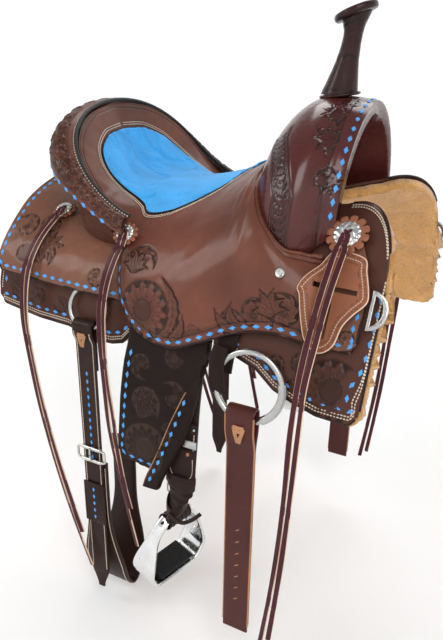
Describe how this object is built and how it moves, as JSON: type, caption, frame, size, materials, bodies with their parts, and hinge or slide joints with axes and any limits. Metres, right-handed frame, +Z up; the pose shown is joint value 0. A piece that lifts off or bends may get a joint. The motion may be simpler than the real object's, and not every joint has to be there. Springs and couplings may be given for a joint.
{
  "type": "barrel racing saddle",
  "caption": "Western barrel racing saddle with a deep seat, tall horn, fenders, bright stirrups, rigging rings, billets, a rear flank cinch and hanging saddle strings.",
  "frame": {"origin": "centre line of the hollow for the horse's back, level with the lower front corner of the skirts", "axes": "+X to the horse's head, +Y to the horse's left, +Z up"},
  "size_m": [0.6906, 0.7438, 1.0558],
  "materials": {
    "black_binding": "black binding",
    "blue_suede": "blue suede",
    "bright_aluminium": "polished",
    "engraved_silver": "polished and engraved",
    "fender_leather": "dark rough-out leather",
    "gold_fleece": "curled wool pile",
    "jockey_leather": "satin leather, a little lighter",
    "keeper_leather": "light tan leather",
    "latigo_leather": "oiled burgundy latigo leather",
    "nickel_steel": "nickel plate",
    "saddle_leather": "satin vegetable-tanned leather",
    "string_leather": "burgundy lace",
    "swell_leather": "glossy dark leather",
    "tread_rubber": "matte ribbed",
    "tree_fibre": "dull"
  },
  "bodies": {
    "saddle": {"swell": "swell_leather", "horn_neck": "swell_leather", "horn_cap": "swell_leather", "cheyenne_roll": "saddle_leather", "cantle_binding": "black_binding", "cantle_board": "saddle_leather", "seat_leather": "saddle_leather", "seat_inlay": "blue_suede", "tree_bar_right": "tree_fibre", "skirt_right": "saddle_leather", "fleece_right": "gold_fleece", "rear_jockey_right": "jockey_leather", "front_jockey_right": "jockey_leather", "latigo_keeper_right": "keeper_leather", "concho_right_front": "engraved_silver", "saddle_string_right_front": "string_leather", "concho_right_middle": "engraved_silver", "saddle_string_right_middle": "string_leather", "concho_right_rear": "engraved_silver", "saddle_string_right_rear": "string_leather", "front_rig_strap_right": "saddle_leather", "rear_rig_strap_right": "saddle_leather", "tree_bar_left": "tree_fibre", "skirt_left": "saddle_leather", "fleece_left": "gold_fleece", "rear_jockey_left": "jockey_leather", "front_jockey_left": "jockey_leather", "latigo_keeper_left": "keeper_leather", "concho_left_front": "engraved_silver", "saddle_string_left_front": "string_leather", "concho_left_middle": "engraved_silver", "saddle_string_left_middle": "string_leather", "concho_left_rear": "engraved_silver", "saddle_string_left_rear": "string_leather", "front_rig_strap_left": "saddle_leather", "rear_rig_strap_left": "saddle_leather"},
    "fender_right": {"fender_right": "fender_leather", "stirrup_leather_right": "fender_leather", "hobble_strap_right": "fender_leather"},
    "stirrup_right": {"stirrup_right": "bright_aluminium", "stirrup_tread_right": "tread_rubber"},
    "breast_dee_right": {"breast_dee_right": "nickel_steel"},
    "fender_left": {"fender_left": "fender_leather", "stirrup_leather_left": "fender_leather", "hobble_strap_left": "fender_leather"},
    "stirrup_left": {"stirrup_left": "bright_aluminium", "stirrup_tread_left": "tread_rubber"},
    "breast_dee_left": {"breast_dee_left": "nickel_steel"},
    "front_rigging_right": {"front_ring_right": "nickel_steel", "off_billet_right": "latigo_leather"},
    "front_rigging_left": {"front_ring_left": "nickel_steel", "latigo_left": "latigo_leather"},
    "rear_rigging_right": {"rear_ring_right": "nickel_steel", "rear_billet_right": "saddle_leather", "cinch_buckle": "nickel_steel"},
    "rear_rigging_left": {"rear_ring_left": "nickel_steel", "rear_billet_left": "saddle_leather"},
    "flank_cinch": {"flank_cinch": "saddle_leather"}
  },
  "joints": [
    {"name": "fender_right_lift", "type": "hinge", "parent": "saddle", "child": "fender_right", "pos_m": [0.02, -0.247, 0.045], "axis": [-1, 0, 0], "range_deg": [0, 19]},
    {"name": "stirrup_right_swing", "type": "hinge", "parent": "fender_right", "child": "stirrup_right", "pos_m": [0.05709, -0.30958, -0.22941], "axis": [0.2588, 0.9659, 0], "range_deg": [-6, 15]},
    {"name": "front_rigging_right_swing", "type": "hinge", "parent": "saddle", "child": "front_rigging_right", "pos_m": [0.161, -0.2752, 0.0105], "axis": [0, -1, 0], "range_deg": [-2, 8]},
    {"name": "rear_rigging_right_swing", "type": "hinge", "parent": "saddle", "child": "rear_rigging_right", "pos_m": [-0.142, -0.2447, 0.064], "axis": [0, -1, 0], "range_deg": [-5, 5]},
    {"name": "breast_dee_right_turn", "type": "hinge", "parent": "saddle", "child": "breast_dee_right", "pos_m": [0.3097, -0.2228, 0.13847], "axis": [0, -0.4969, -0.8678], "range_deg": [0, 60]},
    {"name": "fender_left_lift", "type": "hinge", "parent": "saddle", "child": "fender_left", "pos_m": [0.02, 0.247, 0.045], "axis": [1, 0, 0], "range_deg": [0, 19]},
    {"name": "stirrup_left_swing", "type": "hinge", "parent": "fender_left", "child": "stirrup_left", "pos_m": [0.05709, 0.30958, -0.22941], "axis": [-0.2588, 0.9659, 0], "range_deg": [-6, 15]},
    {"name": "front_rigging_left_swing", "type": "hinge", "parent": "saddle", "child": "front_rigging_left", "pos_m": [0.161, 0.2752, 0.0105], "axis": [0, -1, 0], "range_deg": [-2, 8]},
    {"name": "rear_rigging_left_swing", "type": "hinge", "parent": "saddle", "child": "rear_rigging_left", "pos_m": [-0.142, 0.2447, 0.064], "axis": [0, -1, 0], "range_deg": [-5, 5]},
    {"name": "breast_dee_left_turn", "type": "hinge", "parent": "saddle", "child": "breast_dee_left", "pos_m": [0.3097, 0.2228, 0.13847], "axis": [0, -0.4969, 0.8678], "range_deg": [0, 60]},
    {"name": "flank_cinch_fold", "type": "hinge", "parent": "rear_rigging_right", "child": "flank_cinch", "pos_m": [-0.142, -0.2621, -0.212], "axis": [1, 0, 0], "range_deg": [0, 25]}
  ]
}
